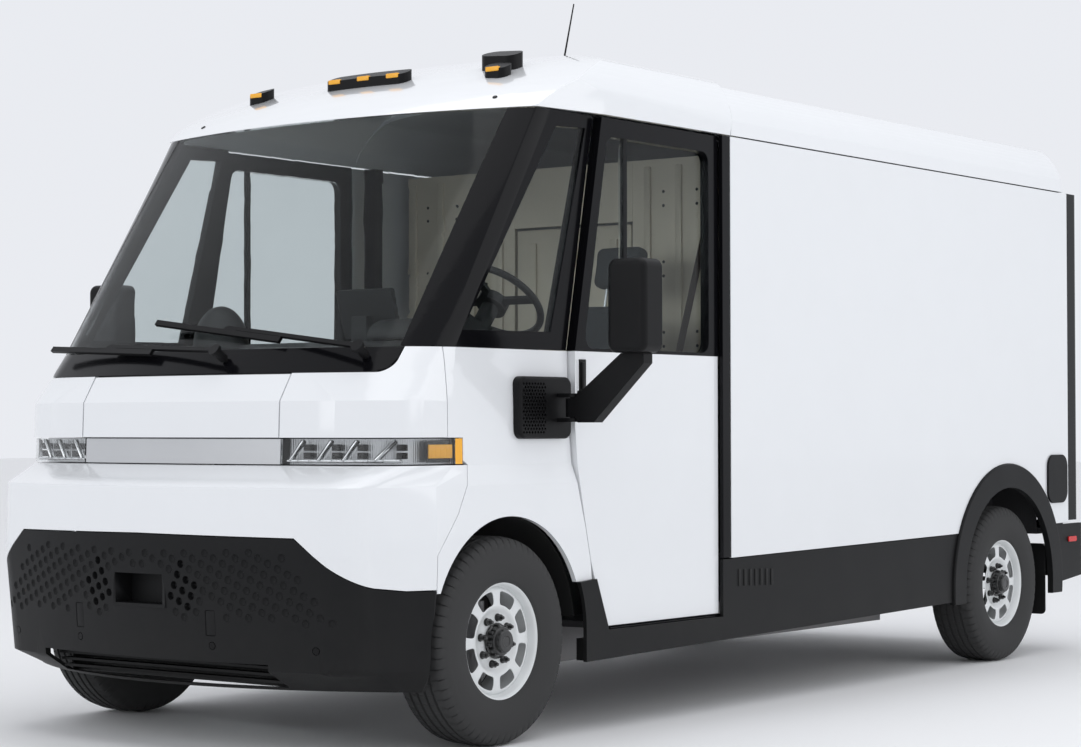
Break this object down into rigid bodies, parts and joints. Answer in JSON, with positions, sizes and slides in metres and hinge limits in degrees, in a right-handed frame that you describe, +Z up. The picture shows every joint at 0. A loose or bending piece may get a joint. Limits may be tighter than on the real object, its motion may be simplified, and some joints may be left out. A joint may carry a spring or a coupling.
{
  "type": "mail delivery truck",
  "caption": "Electric walk-in mail delivery truck with sliding cab doors, cargo box, steering, folding mirrors, wipers and opening rear doors.",
  "frame": {"origin": "on the ground, under the centre of the truck's bounding box", "axes": "+Z up, +Y along the truck towards the rear doors, so the nose faces -Y; +X to the driver's side (the truck's left)"},
  "size_m": [2.86, 5.6398, 2.8669],
  "materials": {
    "white_paint": "gloss white, clear coated",
    "black_gloss": "gloss black",
    "dark_cladding": "grained matt dark grey",
    "black_plastic": "fine grained matt black",
    "tinted_glass": "tinted safety glass",
    "lamp_glass": "clear lens",
    "amber_lens": "amber lens",
    "red_lens": "red lens",
    "lamp_reflector": "bright lamp reflector",
    "satin_bar": "satin silver",
    "mirror_glass": "mirror",
    "tyre_rubber": "moulded rubber",
    "white_steel": "white enamel on steel",
    "chassis_steel": "black chassis coating",
    "cast_metal": "cast",
    "alloy_case": "ribbed casing",
    "bulkhead_metal": "galvanised sheet",
    "floor_covering": "anti slip floor covering",
    "seat_fabric": "dark woven seat cloth",
    "dash_plastic": "soft grained dark grey"
  },
  "bodies": {
    "truck_body": {"chassis_frame": "chassis_steel", "battery_pack": "alloy_case", "drive_unit": "alloy_case", "cab_floor": "floor_covering", "cargo_floor": "floor_covering", "bulkhead": "bulkhead_metal", "front_fascia": "white_paint", "fenders": "white_paint", "bumper_cover": "dark_cladding", "nose_trim_bar": "satin_bar", "headlamp_lenses": "lamp_glass", "headlamp_housings": "lamp_reflector", "amber_lenses": "amber_lens", "windshield": "tinted_glass", "windshield_frame": "black_gloss", "quarter_glass": "tinted_glass", "cab_roof": "white_paint", "cargo_roof": "white_paint", "roof_fittings": "black_plastic", "cargo_sides": "white_paint", "door_jambs": "black_plastic", "sill_covers": "dark_cladding", "rear_arch_flares": "dark_cladding", "rear_portal": "black_gloss", "rear_bumper": "dark_cladding", "rear_lamps": "red_lens", "mirror_bases": "dark_cladding", "dashboard": "dash_plastic", "wheel_liners": "black_plastic"},
    "hood": {"hood_panel": "white_paint"},
    "wiper_left": {"wiper_left": "black_plastic"},
    "wiper_right": {"wiper_right": "black_plastic"},
    "door_left": {"door_left": "white_paint", "door_window_left": "tinted_glass"},
    "door_right": {"door_right": "white_paint", "door_window_right": "tinted_glass"},
    "window_slider_left": {"window_slider_left": "tinted_glass"},
    "window_slider_right": {"window_slider_right": "tinted_glass"},
    "charge_flap": {"charge_flap": "dark_cladding"},
    "rear_door_left": {"rear_door_left": "white_paint"},
    "rear_door_right": {"rear_door_right": "white_paint"},
    "mirror_arm_left": {"mirror_arm_left": "dark_cladding"},
    "mirror_arm_right": {"mirror_arm_right": "dark_cladding"},
    "mirror_glass_left": {"mirror_glass_left": "mirror_glass"},
    "mirror_glass_right": {"mirror_glass_right": "mirror_glass"},
    "steering_wheel": {"steering_wheel": "dash_plastic"},
    "brake_pedal": {"brake_pedal": "black_plastic"},
    "accelerator_pedal": {"accelerator_pedal": "black_plastic"},
    "seat_base": {"seat_base": "seat_fabric"},
    "seat_back": {"seat_back": "seat_fabric"},
    "knuckle_left": {"knuckle_left": "cast_metal"},
    "knuckle_right": {"knuckle_right": "cast_metal"},
    "wheel_front_left": {"wheel_front_left": "white_steel", "tyre_front_left": "tyre_rubber"},
    "wheel_front_right": {"wheel_front_right": "white_steel", "tyre_front_right": "tyre_rubber"},
    "wheel_rear_left": {"wheel_rear_left": "white_steel", "tyre_rear_left": "tyre_rubber"},
    "wheel_rear_right": {"wheel_rear_right": "white_steel", "tyre_rear_right": "tyre_rubber"}
  },
  "joints": [
    {"name": "hood_hinge", "type": "hinge", "parent": "truck_body", "child": "hood", "pos_m": [0, -2.598, 1.318], "axis": [-1, 0, 0], "range_deg": [0, 60]},
    {"name": "wiper_left_sweep", "type": "hinge", "parent": "truck_body", "child": "wiper_left", "pos_m": [0.76279, -2.50607, 1.40638], "axis": [-0.0498, 0.8143, -0.5783], "range_deg": [0, 82]},
    {"name": "wiper_right_sweep", "type": "hinge", "parent": "truck_body", "child": "wiper_right", "pos_m": [0.1749, -2.60208, 1.40129], "axis": [0.091, 0.812, -0.5766], "range_deg": [0, 82]},
    {"name": "door_left_slide", "type": "slide", "parent": "truck_body", "child": "door_left", "axis": [0, 1, 0], "range_m": [0, 0.8]},
    {"name": "door_right_slide", "type": "slide", "parent": "truck_body", "child": "door_right", "axis": [0, 1, 0], "range_m": [0, 0.8]},
    {"name": "window_left_slide", "type": "slide", "parent": "door_left", "child": "window_slider_left", "axis": [0, -1, 0], "range_m": [0, 0.1]},
    {"name": "window_right_slide", "type": "slide", "parent": "door_right", "child": "window_slider_right", "axis": [0, -1, 0], "range_m": [0, 0.1]},
    {"name": "charge_flap_hinge", "type": "hinge", "parent": "truck_body", "child": "charge_flap", "pos_m": [1.026, 2.339, 0.865], "axis": [0, 0, -1], "range_deg": [0, 110]},
    {"name": "rear_door_left_hinge", "type": "hinge", "parent": "truck_body", "child": "rear_door_left", "pos_m": [0.944, 2.75, 1.45], "axis": [0, 0, -1], "range_deg": [0, 110]},
    {"name": "rear_door_right_hinge", "type": "hinge", "parent": "truck_body", "child": "rear_door_right", "pos_m": [-0.944, 2.75, 1.45], "axis": [0, 0, 1], "range_deg": [0, 110]},
    {"name": "mirror_left_fold", "type": "hinge", "parent": "truck_body", "child": "mirror_arm_left", "pos_m": [1.054, -1.658, 1.2], "axis": [0, 0, 1], "range_deg": [-60, 70]},
    {"name": "mirror_right_fold", "type": "hinge", "parent": "truck_body", "child": "mirror_arm_right", "pos_m": [-1.054, -1.658, 1.2], "axis": [0, 0, -1], "range_deg": [-60, 70]},
    {"name": "mirror_left_tilt", "type": "hinge", "parent": "mirror_arm_left", "child": "mirror_glass_left", "pos_m": [1.346, -1.648, 1.562], "axis": [0, 0, 1], "range_deg": [-7, 7]},
    {"name": "mirror_right_tilt", "type": "hinge", "parent": "mirror_arm_right", "child": "mirror_glass_right", "pos_m": [-1.346, -1.648, 1.562], "axis": [0, 0, -1], "range_deg": [-7, 7]},
    {"name": "steer_left", "type": "hinge", "parent": "truck_body", "child": "knuckle_left", "pos_m": [0.8575, -1.988, 0.3715], "axis": [0, 0, 1], "range_deg": [-33, 33]},
    {"name": "steer_right", "type": "hinge", "parent": "truck_body", "child": "knuckle_right", "pos_m": [-0.8575, -1.988, 0.3715], "axis": [0, 0, 1], "range_deg": [-33, 33]},
    {"name": "steering_wheel_turn", "type": "hinge", "parent": "truck_body", "child": "steering_wheel", "pos_m": [0.45, -1.358, 1.62], "axis": [0, 0.6428, 0.766], "range_deg": [-495, 495]},
    {"name": "brake_pedal_press", "type": "hinge", "parent": "truck_body", "child": "brake_pedal", "pos_m": [0.38, -1.456, 1.01], "axis": [-1, 0, 0], "range_deg": [0, 12], "stiffness_Nm_per_rad": 20, "springref_deg": -11.46},
    {"name": "accelerator_pedal_press", "type": "hinge", "parent": "truck_body", "child": "accelerator_pedal", "pos_m": [0.54, -1.456, 1.01], "axis": [-1, 0, 0], "range_deg": [0, 12], "stiffness_Nm_per_rad": 12, "springref_deg": -11.46},
    {"name": "seat_slide", "type": "slide", "parent": "truck_body", "child": "seat_base", "axis": [0, 1, 0], "range_m": [-0.06, 0.04]},
    {"name": "seat_recline", "type": "hinge", "parent": "seat_base", "child": "seat_back", "pos_m": [0.45, -0.678, 1.02], "axis": [-1, 0, 0], "range_deg": [-8, 10]},
    {"name": "wheel_front_left_spin", "type": "hinge", "parent": "knuckle_left", "child": "wheel_front_left", "pos_m": [0.8875, -1.988, 0.3715], "axis": [1, 0, 0], "continuous": true},
    {"name": "wheel_front_right_spin", "type": "hinge", "parent": "knuckle_right", "child": "wheel_front_right", "pos_m": [-0.8875, -1.988, 0.3715], "axis": [1, 0, 0], "continuous": true},
    {"name": "wheel_rear_left_spin", "type": "hinge", "parent": "truck_body", "child": "wheel_rear_left", "pos_m": [0.8875, 1.921, 0.3715], "axis": [1, 0, 0], "continuous": true},
    {"name": "wheel_rear_right_spin", "type": "hinge", "parent": "truck_body", "child": "wheel_rear_right", "pos_m": [-0.8875, 1.921, 0.3715], "axis": [1, 0, 0], "continuous": true}
  ],
  "couplings": [
    {"joint": "wiper_right_sweep", "follows": "wiper_left_sweep", "ratio": 1},
    {"joint": "steer_right", "follows": "steer_left", "ratio": 1},
    {"joint": "steering_wheel_turn", "follows": "steer_left", "ratio": 15}
  ]
}
